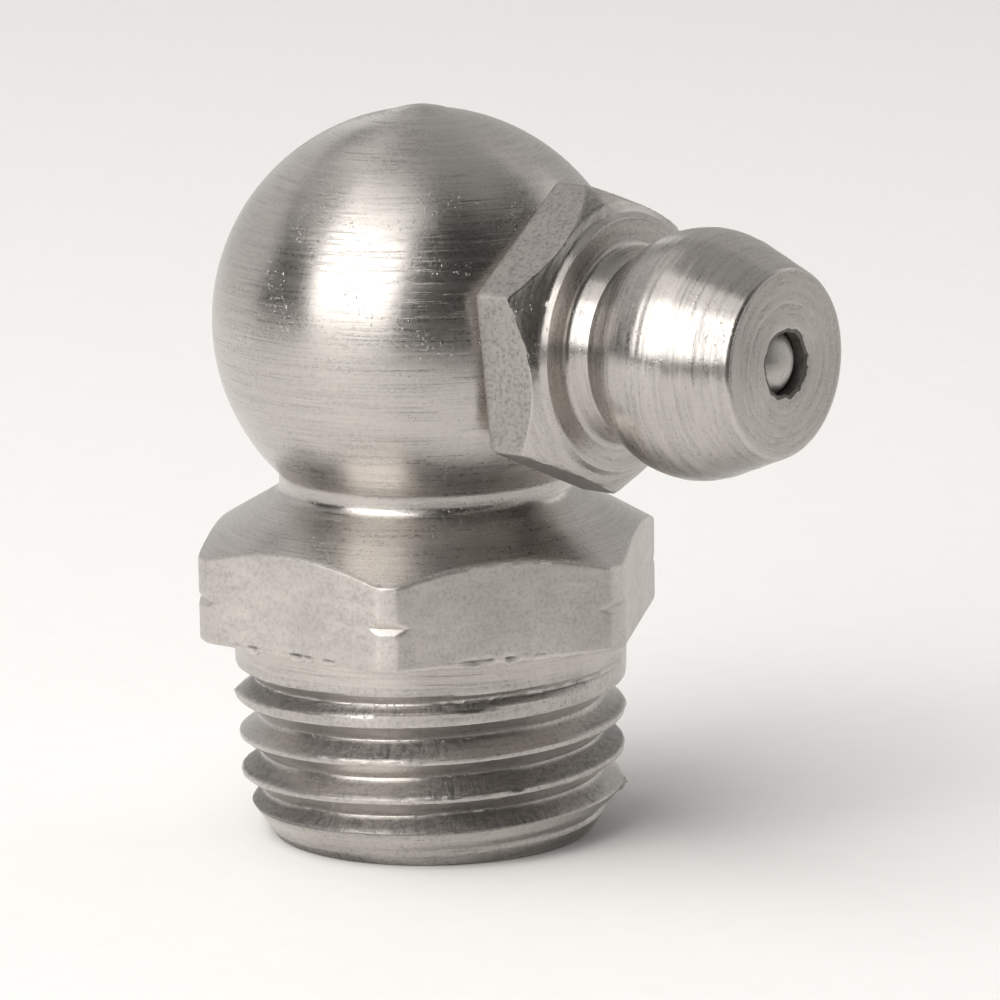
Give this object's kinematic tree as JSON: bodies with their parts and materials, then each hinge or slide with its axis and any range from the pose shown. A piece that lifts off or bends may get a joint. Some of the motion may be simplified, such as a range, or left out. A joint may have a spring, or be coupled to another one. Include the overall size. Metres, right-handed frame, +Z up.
{
  "type": "angled grease nipple",
  "caption": "Ninety-degree grease nipple: a straight cone-head nipple screwed into the side of a ball-ended elbow with a hexagon and a taper thread.",
  "frame": {"origin": "centre of the mounting thread's end face, on the thread's axis", "axes": "+Z up the mounting thread's axis, from its end face to the ball; +X out along the nipple; corners of the hexagon on +X and -X, its flats on +Y and -Y"},
  "size_m": [0.0177, 0.011, 0.0189],
  "materials": {
    "elbow_steel": "turned, fine lathe lines",
    "nipple_steel": "turned, fine lathe lines",
    "ball_steel": "ground and polished",
    "spring_steel": "drawn wire"
  },
  "bodies": {
    "fitting": {"elbow_body": "elbow_steel", "nipple_body": "nipple_steel", "check_spring": "spring_steel"},
    "check_ball": {"check_ball": "ball_steel"}
  },
  "joints": [
    {"name": "check_ball_lift", "type": "slide", "parent": "fitting", "child": "check_ball", "axis": [-1, 0, 0], "range_m": [0, 0.001], "stiffness_N_per_m": 600, "springref_m": -0.001, "deforming": ["check_spring"]}
  ]
}
